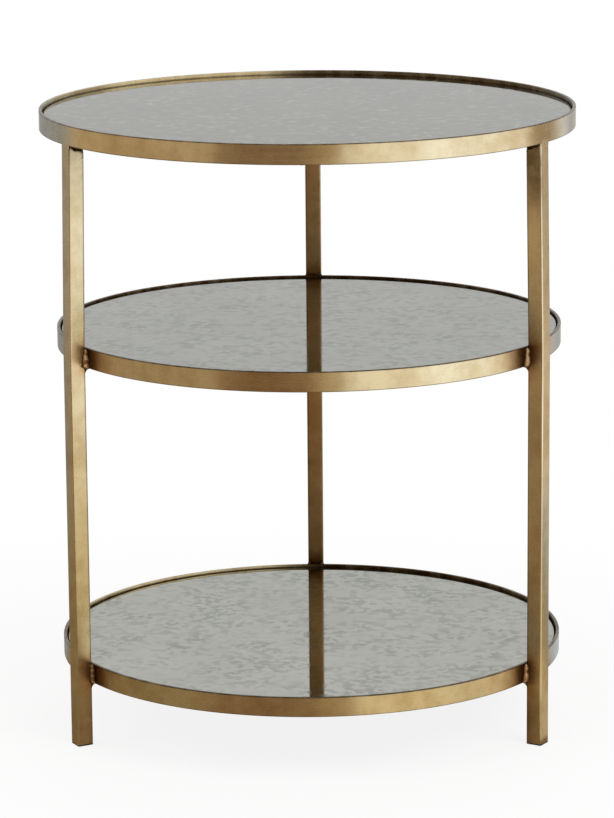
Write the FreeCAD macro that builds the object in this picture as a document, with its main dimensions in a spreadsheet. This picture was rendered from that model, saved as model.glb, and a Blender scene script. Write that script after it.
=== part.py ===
import FreeCAD, Part
import os

import Sketcher
from FreeCAD import Placement, Rotation, Vector

# A round side table with three tiers: rolled brass rings on three square legs, each ring holding a mirror.
# Millimetres, +Z up, origin on the floor under the middle of the table. The back leg stands on +Y.

DRIVING_SIZES = {
    # Overall form: the rim of each tier above the floor
    "top_height": 603.0,
    "middle_height": 391.0,
    "bottom_height": 81.5,
    "top_ring_diameter": 517.0,
    # Rolled angle of the rings: an upright band with an inward ledge at its foot
    "band_height": 19.0,
    "band_thickness": 3.0,
    "ledge_width": 16.0,
    # Square tube of the legs, upright to the middle rim and set in from there to meet the top ring
    "leg_width": 16.0,
    "leg_wall": 2.0,
    "leg_rounding": 1.2,
    "leg_set_in": 3.0,
    "leg_count": 3,
    "first_leg_angle": 90.0,
    # Welds between rings and legs
    "weld_size": 4.0,
    "weld_crown": 2.7,
    "weld_clearance": 0.2,
    "weld_run_out": 2.0,
    "weld_stop": 0.8,
    # Foot plugs
    "glide_thickness": 1.2,
    "glide_plug_depth": 14.0,
    "glide_fit": 0.2,
    "glide_lead_in": 1.0,
    # Panels: a mirror on a board, sunk below the rim of its ring by what the pads under it leave
    "panel_gap": 1.5,
    "mirror_thickness": 4.0,
    "board_thickness": 6.0,
    "top_pad_height": 2.0,
    "middle_pad_height": 4.0,
    "bottom_pad_height": 3.0,
    # Pads and screws, spaced round the ledge
    "pad_count": 6,
    "pad_length": 14.0,
    "pad_width": 9.0,
    "screw_count": 3,
    "first_screw_angle": 30.0,
    "screw_diameter": 4.0,
    "screw_hole_clearance": 0.4,
    "screw_head_diameter": 7.6,
    "screw_head_height": 1.2,
    "screw_bite": 4.5,
}

# Sizes that follow from the driving ones, as expressions
TOP_RING_RADIUS = "Sizes.top_ring_diameter / 2"
LEG_OUTER = f"({TOP_RING_RADIUS} + Sizes.leg_set_in)"
LEG_INNER = f"({LEG_OUTER} - Sizes.leg_width)"
LOWER_RING_RADIUS = f"({LEG_INNER} - Sizes.weld_clearance)"
HALF_LEG = "(Sizes.leg_width / 2)"
LEG_LENGTH = "(Sizes.top_height - Sizes.band_height - Sizes.glide_thickness)"
LEG_BEND = "(Sizes.middle_height - Sizes.glide_thickness)"
SCREW_HOLE = "(Sizes.screw_diameter + Sizes.screw_hole_clearance)"

RING_RADII = {"top": TOP_RING_RADIUS, "middle": LOWER_RING_RADIUS, "bottom": LOWER_RING_RADIUS}
LEG_NAMES = ("back", "left", "right")
FULL_TURN = 360.0
CLOSE_ENOUGH = 0.001

doc = FreeCAD.newDocument("tiered_side_table")
sheet = doc.addObject("Spreadsheet::Sheet", "Sizes")
for row, (alias, number) in enumerate(DRIVING_SIZES.items(), start=1):
    sheet.set(f"A{row}", alias)
    sheet.set(f"B{row}", str(number))
    sheet.setAlias(f"B{row}", alias)
doc.recompute()

sub_parts = []


def measure(expression):
    return float(sheet.evalExpression(str(expression)))


def floor_of(tier):
    return f"(Sizes.{tier}_height - Sizes.band_height)"


def fixing_circle(tier):
    return f"({RING_RADII[tier]} - (Sizes.band_thickness + Sizes.ledge_width) / 2)"


def panel_radius(tier):
    return f"({RING_RADII[tier]} - Sizes.band_thickness - Sizes.panel_gap)"


def board_seat(tier):
    return f"({floor_of(tier)} + Sizes.band_thickness + Sizes.{tier}_pad_height)"


# Bodies, sketches and features


def new_body(label, height, angle):
    body = doc.addObject("PartDesign::Body", label)
    body.Label = label
    body.Placement = Placement(Vector(), Rotation(Vector(0, 0, 1), 0))
    body.setExpression("Placement.Base.z", str(height))
    body.setExpression("Placement.Rotation.Angle", str(angle))
    sub_parts.append(body)
    return body


def origin_feature(body, role):
    return next(feature for feature in body.Origin.OriginFeatures if feature.Role == role)


def new_sketch(body, name, plane, offset="0"):
    sketch = body.newObject("Sketcher::SketchObject", name)
    sketch.AttachmentSupport = [(origin_feature(body, plane), "")]
    sketch.MapMode = "FlatFace"
    sketch.setExpression("AttachmentOffset.Base.z", str(offset))
    return sketch


def pin(sketch, kind, geometry, point, expression):
    constraint = Sketcher.Constraint(kind, -1, 1, geometry, point, measure(expression))
    sketch.setExpression(f"Constraints[{sketch.addConstraint(constraint)}]", expression)


# A closed outline of straight edges, with both coordinates of every corner pinned from the sketch origin
def draw_outline(sketch, corners):
    points = [Vector(measure(x), measure(y), 0) for x, y in corners]
    edges = []
    for start, end in zip(points, points[1:] + points[:1]):
        edges.append(sketch.addGeometry(Part.LineSegment(start, end), False))
    for edge, following, (x, y) in zip(edges, edges[1:] + edges[:1], corners):
        sketch.addConstraint(Sketcher.Constraint("Coincident", edge, 2, following, 1))
        pin(sketch, "DistanceX", edge, 1, x)
        pin(sketch, "DistanceY", edge, 1, y)


def draw_rectangle(sketch, left, right, low, high):
    draw_outline(sketch, [(left, low), (right, low), (right, high), (left, high)])


def draw_circle(sketch, centre, radius):
    circle = Part.Circle(Vector(measure(centre), 0, 0), Vector(0, 0, 1), measure(radius))
    geometry = sketch.addGeometry(circle, False)
    pin(sketch, "DistanceX", geometry, 3, centre)
    pin(sketch, "DistanceY", geometry, 3, "0")
    rounding = sketch.addConstraint(Sketcher.Constraint("Radius", geometry, measure(radius)))
    sketch.setExpression(f"Constraints[{rounding}]", radius)


# An upright construction line, for turning a section about an axis of its own
def draw_axis(sketch, x, top):
    line = Part.LineSegment(Vector(measure(x), 0, 0), Vector(measure(x), measure(top), 0))
    geometry = sketch.addGeometry(line, True)
    pin(sketch, "DistanceX", geometry, 1, x)
    pin(sketch, "DistanceY", geometry, 1, "0")
    pin(sketch, "DistanceX", geometry, 2, x)
    pin(sketch, "DistanceY", geometry, 2, top)


# A convex bead in the corner at (x, y), reaching along x and y in the directions given
def draw_bead(sketch, x, y, x_way, y_way):
    along_x = f"{x} + {x_way} * Sizes.weld_size"
    along_y = f"{y} + {y_way} * Sizes.weld_size"
    crown = (f"{x} + {x_way} * Sizes.weld_crown", f"{y} + {y_way} * Sizes.weld_crown")
    draw_outline(sketch, [(x, y), (along_x, y), crown, (x, along_y)])


def pad(body, sketch, length, both_sides=False):
    feature = body.newObject("PartDesign::Pad", f"{sketch.Name}_pad")
    feature.Profile = sketch
    feature.setExpression("Length", length)
    feature.Midplane = both_sides
    doc.recompute()
    return feature


# A pocket along +Z from its sketch, or to both sides of it
def pocket(body, sketch, depth, both_sides=False):
    before = body.Shape.Volume
    feature = body.newObject("PartDesign::Pocket", f"{sketch.Name}_pocket")
    feature.Profile = sketch
    feature.setExpression("Length", depth)
    feature.Reversed = not both_sides
    feature.Midplane = both_sides
    doc.recompute()
    if feature.Shape.Volume >= before:
        raise RuntimeError(f"{feature.Name} of {body.Label} cuts nothing")
    return feature


def revolve(body, sketch, axis):
    feature = body.newObject("PartDesign::Revolution", f"{sketch.Name}_revolution")
    feature.Profile = sketch
    feature.ReferenceAxis = axis
    feature.Angle = FULL_TURN
    doc.recompute()
    return feature


def dress(body, kind, base, edges, size_name, size):
    feature = body.newObject(f"PartDesign::{kind}", f"{base.Name}_{kind.lower()}")
    feature.Base = (base, edges)
    feature.setExpression(size_name, size)
    doc.recompute()
    return feature


def ring_pattern(body, originals, count):
    feature = body.newObject("PartDesign::PolarPattern", f"{originals[0].Name}_pattern")
    feature.Originals = originals
    feature.Axis = (origin_feature(body, "Z_Axis"), [""])
    feature.Angle = FULL_TURN
    feature.setExpression("Occurrences", count)
    body.Tip = feature
    doc.recompute()
    return feature


def edges_where(feature, wanted):
    return [f"Edge{n}" for n, edge in enumerate(feature.Shape.Edges, start=1) if wanted(edge)]


def lies_at(edge, height):
    box = edge.BoundBox
    return max(abs(box.ZMin - height), abs(box.ZMax - height)) < CLOSE_ENOUGH


def rises(edge):
    return edge.BoundBox.ZLength > CLOSE_ENOUGH


# Rings: an angle section turned about the table's axis, with screw holes in the ledge


def make_ring(tier):
    ring = new_body(f"{tier}_ring", floor_of(tier), "Sizes.first_screw_angle")
    outer = RING_RADII[tier]
    band_inner = f"{outer} - Sizes.band_thickness"
    ledge_inner = f"{outer} - Sizes.ledge_width"
    section = new_sketch(ring, f"{tier}_ring_section", "XZ_Plane")
    draw_outline(
        section,
        [
            (ledge_inner, "0"),
            (outer, "0"),
            (outer, "Sizes.band_height"),
            (band_inner, "Sizes.band_height"),
            (band_inner, "Sizes.band_thickness"),
            (ledge_inner, "Sizes.band_thickness"),
        ],
    )
    revolve(ring, section, (origin_feature(ring, "Z_Axis"), [""]))
    hole = new_sketch(ring, f"{tier}_ring_hole", "XY_Plane")
    draw_circle(hole, fixing_circle(tier), f"{SCREW_HOLE} / 2")
    ring_pattern(ring, [pocket(ring, hole, "Sizes.band_thickness")], "Sizes.screw_count")


# Legs: square tube with rounded corners, bent in at the middle rim so that its outer face ends at the top ring's


def draw_leg_side(sketch, wall):
    inner = f"({LEG_INNER} + {wall})"
    outer = f"({LEG_OUTER} - {wall})"
    draw_outline(
        sketch,
        [
            (inner, "0"),
            (outer, "0"),
            (outer, LEG_BEND),
            (f"{outer} - Sizes.leg_set_in", LEG_LENGTH),
            (f"{inner} - Sizes.leg_set_in", LEG_LENGTH),
            (inner, LEG_BEND),
        ],
    )


def make_leg(side, angle):
    leg = new_body(f"{side}_leg", "Sizes.glide_thickness", angle)
    tube = new_sketch(leg, f"{side}_leg_tube", "XZ_Plane")
    draw_leg_side(tube, "0")
    drawn = pad(leg, tube, "Sizes.leg_width", both_sides=True)
    corners = edges_where(drawn, rises)
    dress(leg, "Fillet", drawn, corners, "Radius", "Sizes.leg_rounding")
    bore = new_sketch(leg, f"{side}_leg_bore", "XZ_Plane")
    draw_leg_side(bore, "Sizes.leg_wall")
    pocket(leg, bore, "Sizes.leg_width - 2 * Sizes.leg_wall", both_sides=True)


# Glides: a foot the width of the leg, with a plug that fills the tube


def make_glide(side, angle):
    glide = new_body(f"{side}_glide", 0, angle)
    foot = new_sketch(glide, f"{side}_glide_foot", "XY_Plane")
    draw_rectangle(foot, LEG_INNER, LEG_OUTER, f"-{HALF_LEG}", HALF_LEG)
    foot_pad = pad(glide, foot, "Sizes.glide_thickness")
    corners = edges_where(foot_pad, rises)
    dress(glide, "Chamfer", foot_pad, corners, "Size", "Sizes.leg_rounding")
    plug = new_sketch(glide, f"{side}_glide_plug", "XY_Plane")
    margin = "(Sizes.leg_wall + Sizes.glide_fit)"
    half_plug = f"({HALF_LEG} - {margin})"
    draw_rectangle(plug, f"{LEG_INNER} + {margin}", f"{LEG_OUTER} - {margin}", f"-{half_plug}", half_plug)
    plug_height = "Sizes.glide_thickness + Sizes.glide_plug_depth"
    plug_pad = pad(glide, plug, plug_height)
    top_edges = edges_where(plug_pad, lambda edge: lies_at(edge, measure(plug_height)))
    dress(glide, "Chamfer", plug_pad, top_edges, "Size", "Sizes.glide_lead_in")


# Panels: a backing board with pilot holes, and a mirror lying on it


def make_board(tier):
    board = new_body(f"{tier}_board", board_seat(tier), "Sizes.first_screw_angle")
    disc = new_sketch(board, f"{tier}_board_disc", "XY_Plane")
    draw_circle(disc, "0", panel_radius(tier))
    pad(board, disc, "Sizes.board_thickness")
    pilot = new_sketch(board, f"{tier}_board_pilot", "XY_Plane")
    draw_circle(pilot, fixing_circle(tier), f"{SCREW_HOLE} / 2")
    pilot_depth = "Sizes.screw_bite + Sizes.screw_hole_clearance"
    ring_pattern(board, [pocket(board, pilot, pilot_depth)], "Sizes.screw_count")


def make_mirror(tier):
    mirror = new_body(f"{tier}_mirror", f"{board_seat(tier)} + Sizes.board_thickness", 0)
    disc = new_sketch(mirror, f"{tier}_mirror_disc", "XY_Plane")
    draw_circle(disc, "0", panel_radius(tier))
    pad(mirror, disc, "Sizes.mirror_thickness")


# Pads and screws: on the same circle of the ledge, the screws midway between the legs


def make_pads(tier):
    pads = new_body(f"{tier}_pads", f"{floor_of(tier)} + Sizes.band_thickness", 0)
    block = new_sketch(pads, f"{tier}_pads_block", "XY_Plane")
    sides = (f"{fixing_circle(tier)} - Sizes.pad_width / 2", f"{fixing_circle(tier)} + Sizes.pad_width / 2")
    draw_rectangle(block, *sides, "-Sizes.pad_length / 2", "Sizes.pad_length / 2")
    ring_pattern(pads, [pad(pads, block, f"Sizes.{tier}_pad_height")], "Sizes.pad_count")


def make_screws(tier):
    screws = new_body(f"{tier}_screws", floor_of(tier), "Sizes.first_screw_angle")
    axis = fixing_circle(tier)
    head_side = f"{axis} + Sizes.screw_head_diameter / 2"
    shank_side = f"{axis} + Sizes.screw_diameter / 2"
    tip = f"(Sizes.band_thickness + Sizes.{tier}_pad_height + Sizes.screw_bite)"
    section = new_sketch(screws, f"{tier}_screws_section", "XZ_Plane")
    draw_outline(
        section,
        [
            (axis, "-Sizes.screw_head_height"),
            (head_side, "-Sizes.screw_head_height"),
            (head_side, "0"),
            (shank_side, "0"),
            (shank_side, tip),
            (axis, tip),
        ],
    )
    draw_axis(section, axis, tip)
    ring_pattern(screws, [revolve(screws, section, (section, ["Axis0"]))], "Sizes.screw_count")


# Welds: upright beads in the corners between lower rings and legs, level ones under the top ring


def make_upright_welds(tier):
    welds = new_body(f"{tier}_ring_welds", floor_of(tier), "Sizes.first_leg_angle")
    beads = new_sketch(welds, f"{tier}_ring_welds_beads", "XY_Plane", "-Sizes.weld_run_out")
    clear_of_ring = f"{LOWER_RING_RADIUS} + Sizes.weld_clearance / 2"
    draw_bead(beads, clear_of_ring, HALF_LEG, 1, 1)
    draw_bead(beads, clear_of_ring, f"-{HALF_LEG}", 1, -1)
    run = pad(welds, beads, "Sizes.band_height - Sizes.weld_stop + Sizes.weld_run_out")
    ring_pattern(welds, [run], "Sizes.leg_count")


def make_level_welds():
    welds = new_body("top_ring_welds", floor_of("top"), "Sizes.first_leg_angle")
    bead_start = f"({LEG_INNER} - Sizes.leg_set_in + Sizes.leg_rounding)"
    beads = new_sketch(welds, "top_ring_welds_beads", "YZ_Plane", bead_start)
    draw_bead(beads, HALF_LEG, "0", 1, -1)
    draw_bead(beads, f"-{HALF_LEG}", "0", -1, -1)
    bead_end = f"({TOP_RING_RADIUS} - Sizes.leg_rounding - Sizes.band_thickness / 2)"
    run = pad(welds, beads, f"{bead_end} - {bead_start}")
    ring_pattern(welds, [run], "Sizes.leg_count")


for tier in RING_RADII:
    make_ring(tier)
    make_board(tier)
    make_mirror(tier)
    make_pads(tier)
    make_screws(tier)
for position, side in enumerate(LEG_NAMES):
    leg_angle = f"Sizes.first_leg_angle + {position} * {FULL_TURN} / Sizes.leg_count"
    make_leg(side, leg_angle)
    make_glide(side, leg_angle)
make_level_welds()
for tier in ("middle", "bottom"):
    make_upright_welds(tier)
doc.recompute()

for item in doc.Objects:
    if "Invalid" in item.State or "Error" in item.State:
        raise RuntimeError(f"{item.Name} failed: {item.State}")
for body in sub_parts:
    if body.Shape.isNull() or not body.Shape.isValid():
        raise RuntimeError(f"{body.Label} has no valid shape")

os.makedirs("parts", exist_ok=True)
for body in sub_parts:
    body.Shape.exportStep(f"parts/{body.Label}.step")
    print(f"{body.Label}: {len(body.Shape.Solids)} solid(s), {body.Shape.Volume / 1000:.1f} cm3")
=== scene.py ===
from math import cos, exp, pi, radians, sin, sqrt

import bmesh
import bpy
from mathutils import Matrix, Vector, noise


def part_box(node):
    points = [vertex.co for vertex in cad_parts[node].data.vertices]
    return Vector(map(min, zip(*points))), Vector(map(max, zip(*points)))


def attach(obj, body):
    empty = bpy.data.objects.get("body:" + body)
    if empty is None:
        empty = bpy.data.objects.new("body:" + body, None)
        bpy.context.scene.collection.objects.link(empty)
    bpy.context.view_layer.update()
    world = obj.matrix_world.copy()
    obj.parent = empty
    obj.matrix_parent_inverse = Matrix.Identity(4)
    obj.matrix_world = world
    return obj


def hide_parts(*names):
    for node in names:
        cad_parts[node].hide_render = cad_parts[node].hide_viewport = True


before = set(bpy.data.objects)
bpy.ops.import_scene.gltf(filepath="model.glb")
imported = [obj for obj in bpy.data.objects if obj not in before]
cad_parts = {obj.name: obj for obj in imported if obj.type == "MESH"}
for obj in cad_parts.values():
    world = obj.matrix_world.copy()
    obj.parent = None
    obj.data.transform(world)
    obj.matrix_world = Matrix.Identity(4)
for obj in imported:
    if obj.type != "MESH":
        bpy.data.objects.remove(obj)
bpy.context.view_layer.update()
print("frame loaded:", len(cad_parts), "nodes")

mm = 0.001
fullTurn = 2 * pi
scene = bpy.context.scene
scene.view_settings.view_transform = "Standard"


# camera, as fitted to the edges of the rings and legs
photoCamera = {
    "lens": 169.45,  # for a long side of 36 mm
    "sensor": 36.0,
    "distance": 3.6873,  # level, from the table's axis
    "height": 1.1143,
    "turn": 1.215,  # degrees round from straight in front
    "heading": 1.2554,
    "pitch": 12.414,
    "roll": -0.474,
}
cameraData = bpy.data.cameras.new("photoCamera")
cameraData.lens = photoCamera["lens"]
cameraData.sensor_width = photoCamera["sensor"]
cameraData.clip_end = 100.0
camera = bpy.data.objects.new("photoCamera", cameraData)
cameraTurn = radians(photoCamera["turn"])
cameraPlace = Matrix.Translation((
    photoCamera["distance"] * sin(cameraTurn),
    -photoCamera["distance"] * cos(cameraTurn),
    photoCamera["height"],
))
cameraAim = Matrix.Rotation(radians(photoCamera["heading"]), 4, "Z")
cameraAim = cameraAim @ Matrix.Rotation(pi / 2 - radians(photoCamera["pitch"]), 4, "X")
cameraAim = cameraAim @ Matrix.Rotation(radians(photoCamera["roll"]), 4, "Z")
camera.matrix_world = cameraPlace @ cameraAim
scene.collection.objects.link(camera)
scene.camera = camera
print("camera set")


# nodes and colours
def toLinear(hexColour):
    channels = [int(hexColour[i:i + 2], 16) / 255 for i in (1, 3, 5)]
    linear = [c / 12.92 if c <= 0.04045 else ((c + 0.055) / 1.055) ** 2.4 for c in channels]
    return (*linear, 1.0)


white = toLinear("#FFFFFF")


def addNode(tree, kind, links=None, **settings):
    node = tree.nodes.new("ShaderNode" + kind)
    for name, value in settings.items():
        setattr(node, name, value)
    for name, value in (links or {}).items():
        if isinstance(value, bpy.types.NodeSocket):
            tree.links.new(value, node.inputs[name])
        else:
            node.inputs[name].default_value = value
    return node


def newMaterial(name):
    material = bpy.data.materials.new(name)
    material.use_nodes = True
    material.node_tree.nodes.clear()
    return material, material.node_tree


# antique brass
brassLook = {
    "brushed": "#DAC89F",  # metal that the wheel has rubbed back
    "film": "#A8854C",  # thin brown film that the darkening wash leaves
    "dark": "#40280C",  # thick film in corners; also the colour of the painted shade and painted dark reflections along the rims, inside the rings and beside the legs
    "rubbedAndHighlit": "#E8D9B4",  # arrises rubbed bright by hands, and painted highlights along arrises
    "heat": "#E8C294",  # straw to brown tint round the welds, laid over the rest
    "speckSize": 1.3 * mm,  # specks of scale at the edge of the welds' stains
    "cloudSize": 55 * mm,  # cloudy differences in the film
    "mottleSize": 14 * mm,
    "lineWidth": 0.9 * mm,  # the wheel's lines are about 0.1 mm, drawn coarser to show
    "lineLength": 60 * mm,
    "waveSize": 70 * mm,  # long waves left by the rolls
    "waveDepth": 0.20 * mm,
    "lineDepth": 0.0009 * mm,
    "lineShare": 0.09,  # how much the lines count beside the clouds
    "filmMost": 0.42,
    "speckShare": 0.9,
    "scaleMost": 0.9,
    "smoothest": 0.25,
    "roughest": 0.30,
    "filmRough": 0.15,  # added where the film is thick and where shade is painted
    "scaleRough": 0.20,  # added by scale
    "lacquer": 0.15,
    "lacquerRough": 0.12,
    "brushing": 0.5,
}


def antiqueBrass(name, brush, look):
    # Rolled brass, brushed with a wheel, darkened with a brown wash, rubbed back and lacquered:
    # the eye gets a soft streaked gold with browner clouds, dark corners and bright arrises, with painted
    # shade, painted dark reflections and painted highlights laid on from the mesh.
    material, tree = newMaterial(name)
    spot = addNode(tree, "TexCoord").outputs["Object"]
    thin, long = 1 / look["lineWidth"], 1 / look["lineLength"]
    run, stretch = spot, (thin, thin, long)
    if brush == "round":
        axes = addNode(tree, "SeparateXYZ", {"Vector": spot})
        level = addNode(tree, "CombineXYZ", {"X": axes.outputs["X"], "Y": axes.outputs["Y"]})
        reach = addNode(tree, "VectorMath", {0: level.outputs[0]}, operation="LENGTH")
        across = addNode(tree, "Math", {0: axes.outputs["Z"], 1: reach.outputs["Value"]}, operation="ADD")
        run = addNode(tree, "CombineXYZ", {
            "X": axes.outputs["X"], "Y": axes.outputs["Y"], "Z": across.outputs[0]}).outputs[0]
        stretch = (long, long, thin)
    if brush == "bead":
        stretch = (thin, thin, thin)
    stretched = addNode(tree, "VectorMath", {0: run, 1: stretch}, operation="MULTIPLY")
    lines = addNode(tree, "TexNoise", {
        "Vector": stretched.outputs[0], "Scale": 1.0, "Detail": 2.0, "Roughness": 0.6}).outputs["Fac"]
    clouds = addNode(tree, "TexNoise", {
        "Vector": spot, "Scale": 1 / look["cloudSize"], "Detail": 3.0}).outputs["Fac"]
    mottle = addNode(tree, "TexNoise", {
        "Vector": spot, "Scale": 1 / look["mottleSize"], "Detail": 4.0, "Roughness": 0.6}).outputs["Fac"]

    # clouds, mottling and lines add up to how much film is left on the open faces
    cloudy = addNode(tree, "Math", {0: clouds, 1: mottle}, operation="ADD")
    streaky = addNode(tree, "Math", {
        0: lines, 1: look["lineShare"], 2: cloudy.outputs[0]}, operation="MULTIPLY_ADD")
    film = addNode(tree, "MapRange", {
        "Value": streaky.outputs[0], "From Min": 0.88, "From Max": 1.30,
        "To Min": 0.0, "To Max": look["filmMost"]})
    filmed = addNode(tree, "Mix", {
        0: film.outputs[0], 6: toLinear(look["brushed"]), 7: toLinear(look["film"])}, data_type="RGBA")

    # thick film where the wheel can't reach, and painted shade and painted dark reflections, broken up by
    # the mottling
    broken = addNode(tree, "MapRange", {
        "Value": mottle, "From Min": 0.3, "From Max": 0.7, "To Min": 0.85, "To Max": 1.12})
    corner = addNode(tree, "Attribute", attribute_name="patinaAndPaintedShade")
    thick = addNode(tree, "Math", {
        0: corner.outputs["Fac"], 1: broken.outputs[0]}, operation="MULTIPLY", use_clamp=True)
    darkened = addNode(tree, "Mix", {
        0: thick.outputs[0], 6: filmed.outputs[2], 7: toLinear(look["dark"])}, data_type="RGBA")

    # arrises rubbed bright here and there, and painted highlights along the legs' outer arrises
    patchy = addNode(tree, "MapRange", {
        "Value": clouds, "From Min": 0.34, "From Max": 0.58, "To Min": 0.0, "To Max": 1.0})
    arris = addNode(tree, "Attribute", attribute_name="rubbedAndHighlit")
    worn = addNode(tree, "Math", {0: arris.outputs["Fac"], 1: patchy.outputs[0]}, operation="MULTIPLY")
    coloured = addNode(tree, "Mix", {
        0: worn.outputs[0], 6: darkened.outputs[2], 7: toLinear(look["rubbedAndHighlit"])}, data_type="RGBA")

    # scale left by the torch, breaking up into specks at its edge
    specks = addNode(tree, "TexNoise", {
        "Vector": spot, "Scale": 1 / look["speckSize"], "Detail": 3.0}).outputs["Fac"]
    stain = addNode(tree, "Attribute", attribute_name="weldStain")
    speckled = addNode(tree, "Math", {
        0: specks, 1: look["speckShare"], 2: stain.outputs["Fac"]}, operation="MULTIPLY_ADD")
    scale = addNode(tree, "MapRange", {
        "Value": speckled.outputs[0], "From Min": 0.80, "From Max": 1.10, "To Max": look["scaleMost"]})
    stained = addNode(tree, "Mix", {
        0: scale.outputs[0], 6: coloured.outputs[2], 7: toLinear(look["dark"])}, data_type="RGBA")
    heat = addNode(tree, "Attribute", attribute_name="heatTint")
    tinted = addNode(tree, "Mix", {
        0: heat.outputs["Fac"], 6: stained.outputs[2], 7: toLinear(look["heat"])},
        data_type="RGBA", blend_type="MULTIPLY")

    streakRough = addNode(tree, "MapRange", {
        "Value": lines, "From Min": 0.3, "From Max": 0.7,
        "To Min": look["smoothest"], "To Max": look["roughest"]})
    filmRough = addNode(tree, "Math", {
        0: thick.outputs[0], 1: look["filmRough"], 2: streakRough.outputs[0]}, operation="MULTIPLY_ADD")
    rough = addNode(tree, "Math", {
        0: scale.outputs[0], 1: look["scaleRough"], 2: filmRough.outputs[0]}, operation="MULTIPLY_ADD")

    waves = addNode(tree, "TexNoise", {
        "Vector": spot, "Scale": 1 / look["waveSize"], "Detail": 1.0}).outputs["Fac"]
    rolled = addNode(tree, "Bump", {"Height": waves, "Distance": look["waveDepth"]})
    lined = addNode(tree, "Bump", {
        "Height": lines, "Distance": look["lineDepth"], "Normal": rolled.outputs[0]})
    shader = addNode(tree, "BsdfPrincipled", {
        "Base Color": tinted.outputs[2],
        "Metallic": 1.0,
        "Roughness": rough.outputs[0],
        "Normal": lined.outputs[0],
        "Coat Weight": look["lacquer"],
        "Coat Roughness": look["lacquerRough"],
    })
    if brush != "bead":
        # the wheel's lines spread a highlight across themselves
        grain = addNode(tree, "Tangent", direction_type="RADIAL", axis="Z")
        tree.links.new(grain.outputs[0], shader.inputs["Tangent"])
        shader.inputs["Anisotropic"].default_value = look["brushing"]
        quarterTurn = 0.25
        shader.inputs["Anisotropic Rotation"].default_value = quarterTurn if brush == "round" else 0.0
    addNode(tree, "OutputMaterial", {"Surface": shader.outputs[0]})
    return material


# antiqued mirror
mirrorLook = {
    "silver": {"top": "#A7A99F", "middle": "#C8CAC1", "bottom": "#C7C9C0"},
    # grey-green where the silvering has gone; at the top, pale where it is only frosted
    "fleck": {"top": "#D2D4CA", "middle": "#8F928A", "bottom": "#8F928A"},
    "fleckEdge": {"top": (0.48, 0.68), "middle": (0.46, 0.56), "bottom": (0.46, 0.56)},
    "flecked": {"top": 0.90, "middle": 0.48, "bottom": 0.52},
    "fleckSize": {"top": 9.5 * mm, "middle": 8.5 * mm, "bottom": 8.5 * mm},
    "clusterSize": 32 * mm,
    "cloudSize": 90 * mm,
    "cloudMost": 0.12,
    "etchDepth": 0.0004 * mm,
    "edge": "#C8C8C8",  # the old silvering doesn't brighten at a low angle
    "clear": 0.03,
    "dulled": 0.14,
    "seed": 0.7,  # shifts the pattern from tier to tier
}


def antiquedMirror(name, tier, seed, look):
    # Float glass silvered on the back, then etched to look old:
    # the eye gets a clear grey reflection with clusters of flecks.
    material, tree = newMaterial(name)
    spot = addNode(tree, "TexCoord").outputs["Object"]
    shifted = addNode(tree, "VectorMath", {0: spot, 1: (seed, seed, 0.0)}, operation="ADD").outputs[0]
    flecks = addNode(tree, "TexNoise", {
        "Vector": shifted, "Scale": 1 / look["fleckSize"][tier], "Detail": 3.0,
        "Roughness": 0.5, "Distortion": 0.3}).outputs["Fac"]
    clusters = addNode(tree, "TexNoise", {
        "Vector": shifted, "Scale": 1 / look["clusterSize"], "Detail": 2.0}).outputs["Fac"]
    clouds = addNode(tree, "TexNoise", {
        "Vector": shifted, "Scale": 1 / look["cloudSize"], "Detail": 2.0}).outputs["Fac"]
    begins, full = look["fleckEdge"][tier]
    fleck = addNode(tree, "MapRange", {
        "Value": flecks, "From Min": begins, "From Max": full}, interpolation_type="SMOOTHSTEP")
    cluster = addNode(tree, "MapRange", {
        "Value": clusters, "From Min": 0.34, "From Max": 0.62,
        "To Min": 0.06, "To Max": look["flecked"][tier]})
    cloud = addNode(tree, "MapRange", {
        "Value": clouds, "From Min": 0.35, "From Max": 0.65, "To Max": look["cloudMost"]})
    spotted = addNode(tree, "Math", {
        0: fleck.outputs[0], 1: cluster.outputs[0], 2: cloud.outputs[0]}, operation="MULTIPLY_ADD")
    coloured = addNode(tree, "Mix", {
        0: spotted.outputs[0], 6: toLinear(look["silver"][tier]),
        7: toLinear(look["fleck"][tier])}, data_type="RGBA")
    rough = addNode(tree, "MapRange", {
        "Value": spotted.outputs[0], "To Min": look["clear"], "To Max": look["dulled"]})
    etched = addNode(tree, "Bump", {"Height": flecks, "Distance": look["etchDepth"]})
    shader = addNode(tree, "BsdfPrincipled", {
        "Base Color": coloured.outputs[2],
        "Metallic": 1.0,
        "Roughness": rough.outputs[0],
        "Normal": etched.outputs[0],
        "Specular Tint": toLinear(look["edge"]),
    })
    addNode(tree, "OutputMaterial", {"Surface": shader.outputs[0]})
    return material


# the small hidden pieces: dark or plated, each with its own grain
darkLooks = {
    "sprayedFibreboard": {"pale": "#1E1C1A", "deep": "#100F0E", "grain": 2.5 * mm, "depth": 0.05 * mm,
                          "rough": (0.62, 0.80)},
    "mouldedNylon": {"pale": "#4A3A28", "deep": "#2C2118", "grain": 0.5 * mm, "depth": 0.03 * mm,
                     "rough": (0.38, 0.55)},
    "cutRubber": {"pale": "#1C1C1B", "deep": "#0D0D0D", "grain": 0.8 * mm, "depth": 0.05 * mm,
                  "rough": (0.75, 0.92)},
}


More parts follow.
